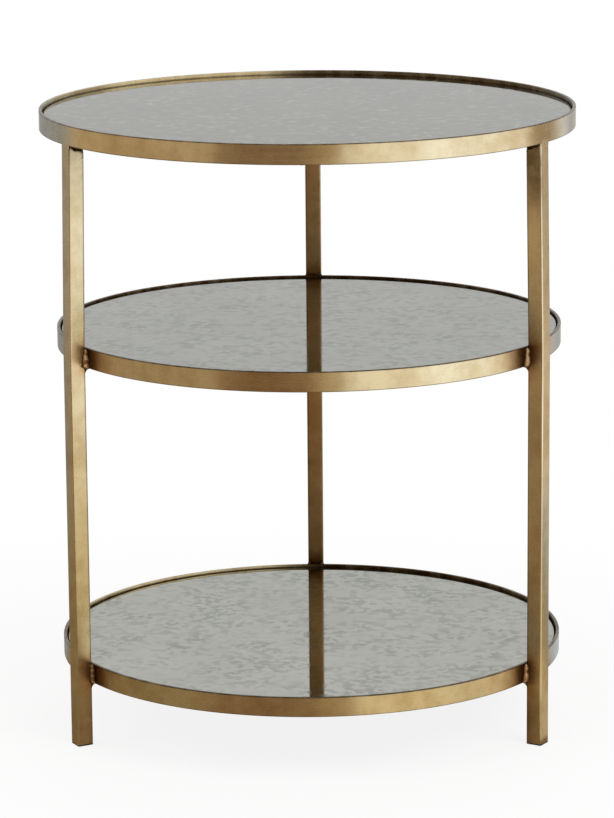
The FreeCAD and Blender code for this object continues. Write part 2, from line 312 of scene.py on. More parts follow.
def darkFinish(name, look):
    # Fibreboard under matt spray, nylon from a spark-eroded mould and rubber cut from sheet:
    # all dark, told apart by the size of the grain and by how dull they are.
    material, tree = newMaterial(name)
    spot = addNode(tree, "TexCoord").outputs["Object"]
    grain = addNode(tree, "TexNoise", {
        "Vector": spot, "Scale": 1 / look["grain"], "Detail": 3.0}).outputs["Fac"]
    dustSize = 20 * look["grain"]
    dust = addNode(tree, "TexNoise", {
        "Vector": spot, "Scale": 1 / dustSize, "Detail": 4.0}).outputs["Fac"]
    mixed = addNode(tree, "Math", {0: grain, 1: dust}, operation="MULTIPLY")
    share = addNode(tree, "MapRange", {"Value": mixed.outputs[0], "From Min": 0.12, "From Max": 0.40})
    coloured = addNode(tree, "Mix", {
        0: share.outputs[0], 6: toLinear(look["deep"]), 7: toLinear(look["pale"])}, data_type="RGBA")
    smoothest, roughest = look["rough"]
    rough = addNode(tree, "MapRange", {
        "Value": dust, "From Min": 0.3, "From Max": 0.7, "To Min": smoothest, "To Max": roughest})
    bumped = addNode(tree, "Bump", {"Height": grain, "Distance": look["depth"], "Strength": 0.6})
    shader = addNode(tree, "BsdfPrincipled", {
        "Base Color": coloured.outputs[2], "Roughness": rough.outputs[0], "Normal": bumped.outputs[0]})
    addNode(tree, "OutputMaterial", {"Surface": shader.outputs[0]})
    return material


zincLook = {
    "plate": "#C2C6CA",
    "tinge": "#B9B19A",  # yellow of the passivation
    "recessTone": "#2A2622",
    "cloudSize": 3 * mm,
    "grain": 0.3 * mm,
    "depth": 0.01 * mm,
}


def zincPlatedSteel(name, look):
    # Cold-headed steel, zinc plated: the eye gets a soft grey shine with a faint yellow cast.
    material, tree = newMaterial(name)
    spot = addNode(tree, "TexCoord").outputs["Object"]
    clouds = addNode(tree, "TexNoise", {
        "Vector": spot, "Scale": 1 / look["cloudSize"], "Detail": 3.0}).outputs["Fac"]
    grain = addNode(tree, "TexNoise", {
        "Vector": spot, "Scale": 1 / look["grain"], "Detail": 2.0}).outputs["Fac"]
    plated = addNode(tree, "Mix", {
        0: clouds, 6: toLinear(look["plate"]), 7: toLinear(look["tinge"])}, data_type="RGBA")
    # darker in the cross recess
    recess = addNode(tree, "Attribute", attribute_name="patinaAndPaintedShade")
    coloured = addNode(tree, "Mix", {
        0: recess.outputs["Fac"], 6: plated.outputs[2], 7: toLinear(look["recessTone"])}, data_type="RGBA")
    rough = addNode(tree, "MapRange", {
        "Value": clouds, "From Min": 0.3, "From Max": 0.7, "To Min": 0.26, "To Max": 0.42})
    bumped = addNode(tree, "Bump", {"Height": grain, "Distance": look["depth"]})
    shader = addNode(tree, "BsdfPrincipled", {
        "Base Color": coloured.outputs[2], "Metallic": 1.0,
        "Roughness": rough.outputs[0], "Normal": bumped.outputs[0]})
    addNode(tree, "OutputMaterial", {"Surface": shader.outputs[0]})
    return material


ringBrass = antiqueBrass("brushedAntiqueBrassRound", "round", brassLook)
legBrass = antiqueBrass("brushedAntiqueBrassUpright", "upright", brassLook)
weldBrass = antiqueBrass("antiqueBrassWeld", "bead", {
    **brassLook, "brushed": "#D6BC98", "film": "#9A7450",  # redder: bronze filler, less rubbed
    "lineDepth": 0.06 * mm, "lineWidth": 1.4 * mm, "smoothest": 0.28, "roughest": 0.42})
fibreboard = darkFinish("sprayedFibreboard", darkLooks["sprayedFibreboard"])
nylon = darkFinish("mouldedNylon", darkLooks["mouldedNylon"])
rubber = darkFinish("cutRubber", darkLooks["cutRubber"])
zinc = zincPlatedSteel("zincPlatedSteel", zincLook)
print("materials made:", len(bpy.data.materials))


# mesh building
finishLayers = ("patinaAndPaintedShade", "rubbedAndHighlit", "weldStain", "heatTint")  # read by the brass and the zinc
sharpAngle = radians(42)


def newMesh():
    bm = bmesh.new()
    layers = {name: bm.verts.layers.float.new(name) for name in finishLayers}
    return bm, layers


def roundedLoop(corners, rounding, support, between=0, steps=4):
    # right-angled corners in order; each comes back as an arc with a support point on either side
    # and, if asked for, more points on the way to the next corner
    points = []
    for i, corner in enumerate(corners):
        here = Vector(corner)
        before = Vector(corners[i - 1]) - here
        after = Vector(corners[(i + 1) % len(corners)]) - here
        radius = rounding[i]
        back, ahead = before.normalized(), after.normalized()
        room = 2.2 * (radius + support)  # a shorter side has none for support points
        if before.length > room:
            points.append((here + back * (radius + support), False))
        for k in range(steps + 1):
            turn = pi / 2 * k / steps
            arc = here + back * radius * (1 - sin(turn)) + ahead * radius * (1 - cos(turn))
            points.append((arc, True))
        if after.length > room:
            first = radius + support
            last = after.length - rounding[(i + 1) % len(corners)] - support
            for k in range(between + 1):
                points.append((here + ahead * (first + (last - first) * k / (between + 1)), False))
    return points


def skin(bm, loops, wrap):
    # four-sided faces between neighbouring closed loops; wrap joins the last to the first
    for one, two in zip(loops, loops[1:] + (loops[:1] if wrap else [])):
        for i in range(len(one)):
            j = (i + 1) % len(one)
            bm.faces.new((one[i], one[j], two[j], two[i]))


def skinCapped(bm, loops):
    skin(bm, loops, False)
    bm.faces.new(loops[0])
    bm.faces.new(loops[-1])


def turnSolid(bm, profile, segments, centre):
    # a solid of revolution about an upright axis; the profile begins and ends on that axis
    def ring(radius, z):
        turns = [fullTurn * s / segments for s in range(segments)]
        places = [Vector((radius * cos(turn), radius * sin(turn), z)) for turn in turns]
        return [bm.verts.new(centre + place) for place in places]

    start = bm.verts.new(centre + Vector((0, 0, profile[0][1])))
    end = bm.verts.new(centre + Vector((0, 0, profile[-1][1])))
    loops = [ring(radius, z) for radius, z in profile[1:-1]]
    skin(bm, loops, False)
    for s in range(segments):
        t = (s + 1) % segments
        bm.faces.new((start, loops[0][t], loops[0][s]))
        bm.faces.new((end, loops[-1][s], loops[-1][t]))
    return [start, *(v for loop in loops for v in loop), end]


def makePiece(name, bm, material, node):
    bmesh.ops.recalc_face_normals(bm, faces=bm.faces)
    mesh = bpy.data.meshes.new(name)
    bm.to_mesh(mesh)
    bm.free()
    mesh.shade_smooth()
    mesh.set_sharp_from_angle(angle=sharpAngle)
    mesh.materials.append(material)
    piece = bpy.data.objects.new(name, mesh)
    scene.collection.objects.link(piece)
    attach(piece, "root")
    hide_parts(node)


tiers = ("top", "middle", "bottom")
legTurns = {"back": radians(90), "left": radians(210), "right": radians(330)}
legLow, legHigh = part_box("back_leg")
legHalf = (legHigh.x - legLow.x) / 2
legOuter = legHigh.y
legInner = legOuter - 2 * legHalf
ringBoxes = {tier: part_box(tier + "_ring") for tier in tiers}
mirrorBoxes = {tier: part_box(tier + "_mirror") for tier in tiers}
legBend = ringBoxes["middle"][1].z
legSetIn = legOuter + ringBoxes["top"][0].x  # how far the top of the leg lies inside its foot


def legAxes(name):
    turn = legTurns[name]
    return Vector((cos(turn), sin(turn), 0)), Vector((-sin(turn), cos(turn), 0))


def setIn(z):
    # upright to the middle rim, then leaning in to meet the top ring
    return legSetIn * max(0.0, z - legBend) / (legHigh.z - legBend)


# rings: flat strip rolled to a hoop, with a ledge inside its foot
ringShape = {
    "band": 3.0 * mm,
    "ledge": 16.0 * mm,
    "segments": 300,
    "arris": 0.45 * mm,
    "heel": 1.0 * mm,
    "support": 0.7 * mm,
    "edgeShadeLine": 0.55,  # painted dark lines along the lower and upper edges, for the dark reflections there
    "rimShadeLine": 0.92,
    # film at the left and at the right, with painted shade and painted reflections: darker towards the
    # right, and on the rim's top dark all along the front
    "rimTop": {"top": (0.45, 0.96), "middle": (0.96, 0.96), "bottom": (0.35, 0.96)},
    "inside": {"top": (0.05, 0.85), "middle": (0.92, 0.95), "bottom": (0.10, 0.95)},
    "recess": {"top": (0.60, 0.95), "middle": (0.95, 0.95), "bottom": (0.85, 0.95)},
    "changeFrom": -0.25,  # left turns to right from here, over this share of the radius
    "changeOver": 0.30,
    "behindOver": 0.4,
    "recessLine": 0.7 * mm,  # how far the painted shade of the recess comes up past the glass
    "recessFade": 1.4 * mm,
    "under": 0.40,
    # painted shade and painted reflection of the leg, on the band beside each leg
    "shadeAtLegs": 0.97,
    "legReach": 27.0 * mm,
    "heatReach": 36.0 * mm,
}


def makeRing(tier, shape):
    low, high = ringBoxes[tier]
    radius = -low.x
    floor, rim = low.z, high.z
    inner, lip = radius - shape["band"], radius - shape["ledge"]
    corners = [
        (radius, floor), (radius, rim), (inner, rim),
        (inner, floor + shape["band"]), (lip, floor + shape["band"]), (lip, floor)]
    arris, heel = shape["arris"], shape["heel"]
    section = roundedLoop(corners, [arris, arris, arris, heel, arris, arris], shape["support"])
    hair = 0.15 * mm
    glass = mirrorBoxes[tier][1].z
    if glass + shape["recessFade"] < rim - arris - shape["support"]:
        wall = [i for i, (point, onArc) in enumerate(section) if abs(point.x - inner) < hair and not onArc]
        section[wall[1]:wall[1]] = [
            (Vector((inner, glass + shape["recessFade"])), False),
            (Vector((inner, glass + shape["recessLine"])), False)]

    def across(part, turn):
        left, right = shape[part][tier]
        toRight = min(1.0, max(0.0, (cos(turn) - shape["changeFrom"]) / shape["changeOver"]))
        toRight = toRight * toRight * (3 - 2 * toRight)
        if part == "rimTop":  # lighter only behind; in front the painted dark line runs all along
            toRight = max(toRight, 1 - min(1.0, max(0.0, sin(turn) / shape["behindOver"])))
        return left + (right - left) * toRight

    def legGap(turn):
        away = min(abs((turn - legTurn + pi) % fullTurn - pi) for legTurn in legTurns.values())
        return max(0.0, away * radius - legHalf)

    def heatAt(reach, turn):
        if tier == "top" or reach < radius - hair:
            return 0.0
        return exp(-(legGap(turn) / shape["heatReach"]) ** 2)

    # film, painted shade and painted reflections across the ring's section
    def filmAndShadeAt(reach, z, turn):
        if reach > radius - hair:
            film = shape["edgeShadeLine"] if z - floor < arris + hair else 0.0
            if rim - z < arris + hair:
                film = shape["rimShadeLine"]
            if tier != "top":
                film = max(film, shape["shadeAtLegs"] * exp(-(legGap(turn) / shape["legReach"]) ** 2.2))
            return film
        if z > rim - hair:
            return across("rimTop", turn)
        if z < floor + hair:
            return shape["under"]
        return across("inside" if z > glass + shape["recessLine"] + hair else "recess", turn)

    bm, layers = newMesh()
    loops = []
    for s in range(shape["segments"]):
        turn = fullTurn * s / shape["segments"]
        loop = []
        for point, onArc in section:
            vert = bm.verts.new((point.x * cos(turn), point.x * sin(turn), point.y))
            vert[layers["patinaAndPaintedShade"]] = filmAndShadeAt(point.x, point.y, turn)
            vert[layers["heatTint"]] = heatAt(point.x, turn)
            loop.append(vert)
        loops.append(loop)
    skin(bm, loops, True)
    makePiece(tier + "Ring", bm, ringBrass, tier + "_ring")


for tier in tiers:
    makeRing(tier, ringShape)
print("rings made")


# legs: square tube, bent in above the middle ring
legShape = {
    "wall": 2.0 * mm,
    "rounding": 1.2 * mm,
    "boreRounding": 0.6 * mm,
    "support": 0.9 * mm,
    "between": 3,
    "crown": 0.15 * mm,  # drawn tube is a little fuller in the middle of each face
    "endBevel": 0.7 * mm,
    "ease": 1.2 * mm,  # inner edge ground back below the top ring
    "easeHeight": 10 * mm,
    "step": 4 * mm,
    # rubbed arrises and painted highlights on the legs' outer arrises, strongest on the right leg
    "rubbedAndHighlit": {"left": 0.25, "right": 0.85, "back": 0.45},
    # painted shade at the foot, darker towards the floor
    "footFilmAndShade": {"left": 0.08, "right": 0.36, "back": 0.22},
    "footInside": 0.42,  # painted shade, added towards the inner edge of the foot
    # painted shade at the foot of the outer face
    "footOuter": {"left": 0.20, "right": 0.26, "back": 0.20},
    "footReach": 62 * mm,
    "insideFilm": 0.20,
    "insideRingShade": {"middle": 0.80, "bottom": 0.95},  # painted shade on the inner face, just above the rings
    "insideRingShadeReach": 34 * mm,
    "innerArris": 0.55,
    # painted shade below the top ring: most, reach and fall
    "topShade": {"left": (0.42, 30 * mm, 1), "right": (0.68, 60 * mm, 4), "back": (0.42, 30 * mm, 1)},
    "topArrisShade": 0.85,  # painted dark line along the arris between outer and side faces, below the top ring
    "paintedRingShade": 0.95,  # painted shade and painted reflection of the ring, on the faces beside the lower rings
    "ringShadeReach": 4 * mm,
    "ringShadeFall": {"left": 6.0, "right": 0.9, "back": 1.6},  # how fast it thins towards the outside
    "heatReach": {"left": 10 * mm, "right": 22 * mm, "back": 22 * mm},
    "insideHeat": 0.6,  # the inner faces were rubbed back less
    "stainReach": 4.5 * mm,
    # how much lower the stain begins at the inner arris
    "stainLag": {"left": 6.5 * mm, "right": 1.0 * mm, "back": 4 * mm},
    "arrisStain": 0.8,
    "arrisStainReach": 24 * mm,
    # where across the tube a face, a line or an arris begins, in shares of its half width
    "face": 0.95,
    "line": (0.8, 0.97),
    "outside": 0.9,
    "arris": 0.6,
}


def legShadeAndFilm(name, u, z, onArc, shape):
    # painted shade at the foot, below the top ring and beside the lower rings, and a darker inner face
    onOuter = u > shape["face"] * legHalf and not onArc
    lineFrom, lineTo = shape["line"]
    inward = max(0.0, (legHalf - u) / (2 * legHalf))
    most, reach, fall = shape["topShade"][name]
    below = exp(-((legHigh.z - z) / reach) ** fall)
    foot = exp(-((z - legLow.z) / shape["footReach"]) ** 4)
    film = shape["footOuter"][name] * foot
    if onArc and lineFrom * legHalf < u < lineTo * legHalf:
        film = max(film, shape["topArrisShade"] * below)
    if not onOuter:
        film = max(film, most * below, (shape["footFilmAndShade"][name] + shape["footInside"] * inward ** 2) * foot)
        for tier in ("middle", "bottom"):
            low, high = ringBoxes[tier]
            past = max(0.0, low.z - z, z - high.z)
            besideRingShade = shape["paintedRingShade"] * inward ** shape["ringShadeFall"][name]
            film = max(film, besideRingShade * exp(-past / shape["ringShadeReach"]))
    if u < -shape["face"] * legHalf:
        film = max(film, shape["insideFilm"])
        for tier, paintedRingShade in shape["insideRingShade"].items():
            over = z - ringBoxes[tier][1].z
            if over > -legHalf:
                film = max(film, paintedRingShade * exp(-max(0.0, over) / shape["insideRingShadeReach"]))
    if u < 0 and onArc:
        film = max(film, shape["innerArris"])
    return film


def legHeat(name, u, z, shape):
    # tint round the lower rings, strongest on the inner face
    if u > shape["outside"] * legHalf:
        return 0.0
    inward = (legHalf - u) / (2 * legHalf)
    heat = shape["insideHeat"] if u < -shape["face"] * legHalf else 0.0
    for tier in ("middle", "bottom"):
        low, high = ringBoxes[tier]
        past = max(0.0, low.z - z, z - high.z)
        heat = max(heat, exp(-(past / shape["heatReach"][name]) ** 2) * inward ** 1.2)
    return heat


def legStain(name, u, z, shape):
    # scale from the torch: a patch below the top ring, running further down the inner arrises
    if u > shape["outside"] * legHalf:
        return 0.0
    inward = (legHalf - u) / (2 * legHalf)
    below = legHigh.z - z
    stain = 1 - (below - shape["stainLag"][name] * inward) / shape["stainReach"]
    if u < -shape["arris"] * legHalf:
        stain = max(stain, shape["arrisStain"] * (1 - below / shape["arrisStainReach"]))
    return min(1.0, max(0.0, stain))


def makeLeg(name, shape):
    out, along = legAxes(name)
    middle = (legInner + legOuter) / 2
    foot, top = legLow.z, legHigh.z
    square = [(-1, -1), (1, -1), (1, 1), (-1, 1)]

    def section(half, rounding, crown):
        corners = [(a * half, b * half) for a, b in square]
        points = []
        for point, onArc in roundedLoop(corners, [rounding] * 4, shape["support"], shape["between"]):
            a, b = point.x / half, point.y / half
            points.append((Vector((point.x - a * crown * b ** 2, point.y - b * crown * a ** 2)), onArc))
        return points

    outline = section(legHalf, shape["rounding"], shape["crown"])
    bore = section(legHalf - shape["wall"], shape["boreRounding"], 0.0)
    bevelled = section(legHalf - shape["endBevel"], shape["rounding"], shape["crown"])
    bm, layers = newMesh()

    def loopAt(z, points):
        eased = shape["ease"] * max(0.0, 1 - (top - z) / shape["easeHeight"]) ** 2
        loop = []
        for point, onArc in points:
            u = point.x - setIn(z)
            if point.x < -legHalf / 2 and points is outline:
                u += eased
            vert = bm.verts.new(out * (middle + u) + along * point.y + Vector((0, 0, z)))
            vert[layers["patinaAndPaintedShade"]] = legShadeAndFilm(name, point.x, z, onArc, shape)
            vert[layers["rubbedAndHighlit"]] = shape["rubbedAndHighlit"][name] if onArc and point.x > 0 else 0.0
            vert[layers["weldStain"]] = legStain(name, point.x, z, shape)
            vert[layers["heatTint"]] = legHeat(name, point.x, z, shape)
            loop.append(vert)
        return loop

    def levelsBetween(start, end):
        count = round((end - start) / shape["step"])
        return [start + (end - start) * k / count for k in range(1, count + 1)]

    firstLevel = foot + shape["endBevel"]
    levels = [firstLevel] + levelsBetween(firstLevel, legBend) + levelsBetween(legBend, top)
    loops = [loopAt(foot, bevelled)]
    loops += [loopAt(z, outline) for z in levels]
    loops += [loopAt(z, bore) for z in (top, legBend, foot)]
    skin(bm, loops, True)
    makePiece(name + "Leg", bm, legBrass, name + "_leg")


for name in legTurns:
    makeLeg(name, legShape)
print("legs made")


# welds: lumpy fillets in the corners
weldShape = {
    "legReach": 3.7 * mm,
    "ringReach": 4.8 * mm,
    "spread": 2.6 * mm,  # further along the ring at its lower edge
    "spreadHeight": 3.0 * mm,
    "slimming": 0.35,  # towards the rim
    "fullness": 1.55,  # 1 is a round face, 2 a flat one
    "lump": 0.36,
    "lumpSize": 4.5 * mm,
    "step": 0.45 * mm,
    "tail": 6.5 * mm,  # run-out below the ring
    "sink": 1.4 * mm,  # the run-out's tip ends inside the leg
    "topStop": 0.8 * mm,
    "roundEnd": 1.5 * mm,
    "backRise": 2.6 * mm,  # behind, the welds were left higher than the rim
    "thinnest": 0.02,  # share of the full section at the very ends
    "bury": 2.4 * mm,
    "undercut": 0.8 * mm,  # the feet turn in under the surface
    "arcSteps": 10,
    # darker at the feet: patina in the corners and painted shade; the crown stays light
    "footFilmAndShade": 0.90,
    "crownFilm": 0.10,
    "tailFilm": 0.50,
    "stain": 0.30,
    "heat": 0.55,
}
levelShape = {
    "drop": 3.6 * mm,  # down the leg at its outer face
    "moreDrop": 3.6 * mm,  # added towards the inner face
    "reach": 4.6 * mm,
    "innerStop": 0.8 * mm,
    "outerStop": 3.0 * mm,
    # patina and painted shade, under the top ring's ledge
    "film": 0.80,
    "stain": 0.80,
}


def lumps(place, shape):
    return 1 + shape["lump"] * noise.noise(place / shape["lumpSize"])


def beadLoop(bm, layers, corner, toLeg, toPlate, bury, film, stain, shape):
    # one section: buried corner, foot on the leg, face, foot on the ring
    under = shape["undercut"]
    legWay, plateWay = toLeg.normalized(), toPlate.normalized()
    places = [(corner - bury * (legWay + plateWay), 0.0), (corner + toLeg - plateWay * under, 1.0)]
    for k in range(shape["arcSteps"] + 1):
        turn = pi / 2 * k / shape["arcSteps"]
        face = toLeg * cos(turn) ** shape["fullness"] + toPlate * sin(turn) ** shape["fullness"]
        places.append((corner + face * lumps(corner + face, shape), abs(cos(2 * turn))))
    places.append((corner + toPlate - legWay * under, 1.0))
    loop = []
    for place, atFoot in places:
        vert = bm.verts.new(place)
        # darker towards the feet: patina in the corners and painted shade
        vert[layers["patinaAndPaintedShade"]] = film + (shape["footFilmAndShade"] - film) * atFoot
        vert[layers["weldStain"]] = stain
        vert[layers["heatTint"]] = shape["heat"]
        loop.append(vert)
    return loop


def uprightBead(bm, layers, name, side, tier, shape):
    out, along = legAxes(name)
    low, high = ringBoxes[tier]
    radius, floor, rim = -low.x, low.z, high.z - shape["topStop"]
    rise = shape["backRise"] if name == "back" else 0.0
    start, end = floor - shape["tail"], rim + rise
    reach = sqrt(radius ** 2 - legHalf ** 2)
    count = int((end - start) / shape["step"])
    loops = []
    for k in range(count + 1):
        z = start + (end - start) * k / count
        corner = out * reach + along * side * legHalf + Vector((0, 0, z))
        # behind, the whole bead is as dark as its feet
        bury, film = shape["bury"], shape["footFilmAndShade"] if rise else shape["crownFilm"]
        spread = shape["spread"] * exp(-max(0.0, z - floor) / shape["spreadHeight"])
        if z < floor:
            # a hollow quarter circle down to the leg
            share = (z - start) / shape["tail"]
            size = 1 - sqrt(1 - share * share)
            corner += (out - along * side) * shape["sink"] * (1 - share)
            bury *= size
            film = shape["tailFilm"]
        elif rise and z > rim:
            share = (end - z) / rise
            size = (1 - shape["slimming"]) * (1 - sqrt(max(0.0, 1 - share * share)))
        else:
            size = 1 - shape["slimming"] * ((z - floor) / (rim - floor)) ** 1.5
        if not rise and z > rim - shape["roundEnd"]:
            share = (z - rim + shape["roundEnd"]) / shape["roundEnd"]
            size *= sqrt(max(0.0, 1 - share * share))
        size = max(shape["thinnest"], size * lumps(corner, shape))
        toLeg = out * shape["legReach"] * size
        toRing = along * side * (shape["ringReach"] + spread) * size
        loops.append(beadLoop(bm, layers, corner, toLeg, toRing, bury, film, shape["stain"], shape))
    skinCapped(bm, loops)


def levelBead(bm, layers, name, side, level, shape):
    # under the top ring's ledge, along the side of the leg, heavier towards the inside
    out, along = legAxes(name)
    ceiling = ringBoxes["top"][0].z
    first = legInner - legSetIn + level["innerStop"]
    last = legOuter - legSetIn - level["outerStop"]
    count = int((last - first) / shape["step"])
    loops = []
    for k in range(count + 1):
        share = k / count
        corner = out * (first + (last - first) * share) + along * side * legHalf + Vector((0, 0, ceiling))
        roundEnds = sqrt(max(0.0, 1 - (2 * share - 1) ** 6))
        size = max(shape["thinnest"], roundEnds * lumps(corner, shape))
        toLeg = Vector((0, 0, -1)) * (level["drop"] + level["moreDrop"] * (1 - share)) * size
        toLedge = along * side * level["reach"] * size
        loops.append(beadLoop(
            bm, layers, corner, toLeg, toLedge, shape["bury"], level["film"], level["stain"], shape))
    skinCapped(bm, loops)


flushShape = {
    "below": 3.0 * mm,
    "above": 3.5 * mm,
    "overhang": 0.4 * mm,
    "proud": 0.05 * mm,
    "sunk": 0.12 * mm,
    "depth": 1.5 * mm,
    "rows": 14,
    "columns": 16,
}


def flushWeld(bm, name, shape):
    # ground flush: fills the line between the leg's outer face and the top ring
    out, along = legAxes(name)
    low = ringBoxes["top"][0]
    radius, joint = -low.x, low.z
    bottom, top = joint - shape["below"], joint + shape["above"]
    halfWidth = legHalf - legShape["rounding"] + shape["overhang"]
    loops = []
    for row in range(shape["rows"] + 1):
        z = bottom + (top - bottom) * row / shape["rows"]
        front, back = [], []
        for column in range(shape["columns"] + 1):
            t = halfWidth * (2 * column / shape["columns"] - 1)
            onRing = sqrt(radius ** 2 - t ** 2)
            onLeg = legOuter - setIn(z)
            reach = onRing if z > joint else onLeg
            border = max(abs(2 * row / shape["rows"] - 1), abs(t) / halfWidth) ** 6
            reach += shape["proud"] - (shape["proud"] + shape["sunk"]) * border
            place = along * t + Vector((0, 0, z))
            front.append(bm.verts.new(out * reach + place))
            back.append(bm.verts.new(out * (reach - shape["depth"]) + place))
        loops.append(front + back[::-1])
    skinCapped(bm, loops)


for tier in tiers:
    bm, layers = newMesh()
    for name in legTurns:
        for side in (-1, 1):
            if tier == "top":
                levelBead(bm, layers, name, side, levelShape, weldShape)
            else:
                uprightBead(bm, layers, name, side, tier, weldShape)
        if tier == "top":
            flushWeld(bm, name, flushShape)
    material = legBrass if tier == "top" else weldBrass  # at the top they are brushed along with the legs
    makePiece(tier + "RingWelds", bm, material, tier + "_ring_welds")
print("welds made")


# mirrors: glass with a ground arris
mirrorShape = {
    "arris": 0.8 * mm,
    "support": 1.2 * mm,
    "segments": 240,
    "shares": (0.2, 0.4, 0.6, 0.8, 0.94),  # rings of points, as shares of the radius
}


def discProfile(radius, low, high, arris, support, shares):
    # half of a disc's section, from the top's middle to the underside's middle
    bulge = arris * 0.3
    profile = [(0.0, high)]
    profile += [(radius * share, high) for share in shares]
    profile += [(radius - arris - support, high), (radius - arris, high)]
    profile += [(radius - bulge, high - bulge), (radius, high - arris)]
    profile += [(radius, low + arris), (radius - bulge, low + bulge)]
    profile += [(radius - arris, low), (radius - arris - support, low)]
    profile += [(radius * share, low) for share in reversed(shares)]
    profile += [(0.0, low)]
    return profile


def makeMirror(tier, shape):
    low, high = mirrorBoxes[tier]
    profile = discProfile(-low.x, low.z, high.z, shape["arris"], shape["support"], shape["shares"])
    bm, _ = newMesh()
    turnSolid(bm, profile, shape["segments"], Vector((0, 0, 0)))
    seed = mirrorLook["seed"] * (1 + tiers.index(tier))
    material = antiquedMirror("antiquedMirror" + tier.capitalize(), tier, seed, mirrorLook)
    makePiece(tier + "Mirror", bm, material, tier + "_mirror")


for tier in tiers:
    makeMirror(tier, mirrorShape)
print("mirrors made")


# boards under the mirrors, edges eased before spraying
boardShape = {"arris": 0.6 * mm, "support": 1.0 * mm, "segments": 180, "shares": (0.3, 0.6, 0.9)}


def makeBoard(tier, shape):
    low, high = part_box(tier + "_board")
    profile = discProfile(-low.x, low.z, high.z, shape["arris"], shape["support"], shape["shares"])
    bm, _ = newMesh()
    turnSolid(bm, profile, shape["segments"], Vector((0, 0, 0)))
    makePiece(tier + "Board", bm, fibreboard, tier + "_board")


for tier in tiers:
    makeBoard(tier, boardShape)
print("boards made")


# rubber pads, squeezed a little between ledge and board
padShape = {
    "count": 6,
    "length": 14 * mm,
    "width": 9 * mm,
    "inset": 9.5 * mm,  # from the ring's outside to the pads' middle
    "rounding": 1.6 * mm,
    "support": 0.5 * mm,
    "squeeze": 0.35 * mm,
    "levels": 6,
}


def makePads(tier, shape):
    low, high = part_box(tier + "_pads")
    circle = -ringBoxes[tier][0].x - shape["inset"]
    bm, _ = newMesh()
    for pad in range(shape["count"]):
        turn = fullTurn * pad / shape["count"]
        out, along = Vector((cos(turn), sin(turn), 0)), Vector((-sin(turn), cos(turn), 0))
        loops = []
        for level in range(shape["levels"] + 1):
            share = level / shape["levels"]
            inset = shape["squeeze"] * (2 * share - 1) ** 2
            wide, long = shape["width"] / 2 - inset, shape["length"] / 2 - inset
            corners = [(-wide, -long), (wide, -long), (wide, long), (-wide, long)]
            z = low.z + (high.z - low.z) * share
            loops.append([
                bm.verts.new(out * (circle + point.x) + along * point.y + Vector((0, 0, z)))
                for point, onArc in roundedLoop(corners, [shape["rounding"]] * 4, shape["support"])])
        skinCapped(bm, loops)
    makePiece(tier + "Pads", bm, rubber, tier + "_pads")


for tier in tiers:
    makePads(tier, padShape)
print("pads made")


# pan head screws with a cross recess, threaded into the boards
screwShape = {
    "count": 3,
    "first": radians(30),
    "inset": 9.5 * mm,
    "head": 3.8 * mm,
    "dome": (0.08, 0.16, 0.24, 0.32, 0.40, 0.46, 0.52, 0.58),  # rings of points, as shares of the head
    "domeDrop": 0.10,
    "shoulder": ((0.78, 0.93), (0.92, 0.78), (1.0, 0.48)),  # shares of the head's radius and height
    "core": 1.55 * mm,
    "thread": 2.0 * mm,
    "pitch": 1.1 * mm,
    "point": 1.2 * mm,
    "segments": 48,
    "armLength": 1.95 * mm,
    "armWidth": 0.42 * mm,
    "recess": 0.75 * mm,
    "recessFrom": 0.6,  # share of the head's height that stays whole
    "recessSlope": 0.55,  # how much shallower at the arms' ends
    # darker in the cross recess
    "recessDarkening": 0.7,
}


def makeScrews(tier, shape):
    low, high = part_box(tier + "_screws")
    ring = ringBoxes[tier][0]
    circle = -ring.x - shape["inset"]
    seat = ring.z
    head, tall = shape["head"], seat - low.z
    core, thread, pitch = shape["core"], shape["thread"], shape["pitch"]
    profile = [(0.0, seat - tall)]
    for share in shape["dome"]:
        profile.append((head * share, seat - tall * (1 - shape["domeDrop"] * share ** 3)))
    profile += [(head * wide, seat - tall * deep) for wide, deep in shape["shoulder"]]
    profile += [(head, seat), (core, seat)]
    z = seat + pitch
    while z < high.z - shape["point"] - pitch:
        profile += [(core, z), (thread, z + 0.4 * pitch), (thread, z + 0.5 * pitch)]
        z += pitch
    profile += [(core, high.z - shape["point"]), (0.0, high.z)]
    bm, layers = newMesh()
    for screw in range(shape["count"]):
        turn = shape["first"] + fullTurn * screw / shape["count"]
        centre = Vector((circle * cos(turn), circle * sin(turn), 0))
        for vert in turnSolid(bm, profile, shape["segments"], centre):
            away = vert.co - centre
            near, far = sorted((abs(away.x), abs(away.y)))
            onFace = away.z < seat - tall * shape["recessFrom"]
            if onFace and near < shape["armWidth"] and far < shape["armLength"]:
                vert.co.z += shape["recess"] * (1 - shape["recessSlope"] * far / shape["armLength"])
                vert[layers["patinaAndPaintedShade"]] = shape["recessDarkening"]
    makePiece(tier + "Screws", bm, zinc, tier + "_screws")


for tier in tiers:
    makeScrews(tier, screwShape)
print("screws made")


# glides: nylon feet plugged into the tube
glideShape = {
    "plugHalf": 5.8 * mm,
    "rounding": 1.2 * mm,
    "support": 0.6 * mm,
    "bevel": 0.8 * mm,
    "edge": 0.1 * mm,
    "shy": 0.02 * mm,  # behind the faces of the tube
    "rib": 0.2 * mm,
    "ribPitch": 3.0 * mm,
    "ribStop": 1.2 * mm,
    "tip": 1.0 * mm,
}


